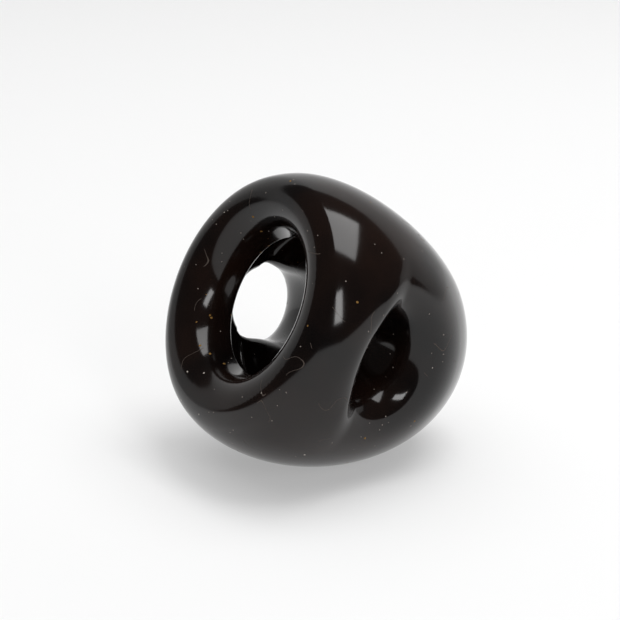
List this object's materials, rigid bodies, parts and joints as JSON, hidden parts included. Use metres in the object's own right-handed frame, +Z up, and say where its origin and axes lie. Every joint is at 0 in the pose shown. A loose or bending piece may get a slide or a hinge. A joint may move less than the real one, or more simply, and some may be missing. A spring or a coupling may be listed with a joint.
{
  "type": "soft grip ball with through hole",
  "caption": "Soft glossy ball-shaped moulding: a fat rolled ring leaning back, joined by a broad strap behind it, with a flared window on each side.",
  "frame": {"origin": "middle of the flat spot that the body rests on, at floor height", "axes": "+Z up, the ring's face looks along -Y and leans back 26 degrees, the side windows open along +X and -X"},
  "size_m": [0.0604, 0.0686, 0.0667],
  "materials": {
    "black_elastomer": "high-gloss moulded thermoplastic elastomer, smoky brown-black"
  },
  "bodies": {
    "root": {"front_ring": "black_elastomer", "upper_strap": "black_elastomer", "rear_strap": "black_elastomer", "lower_strap": "black_elastomer"}
  },
  "joints": []
}
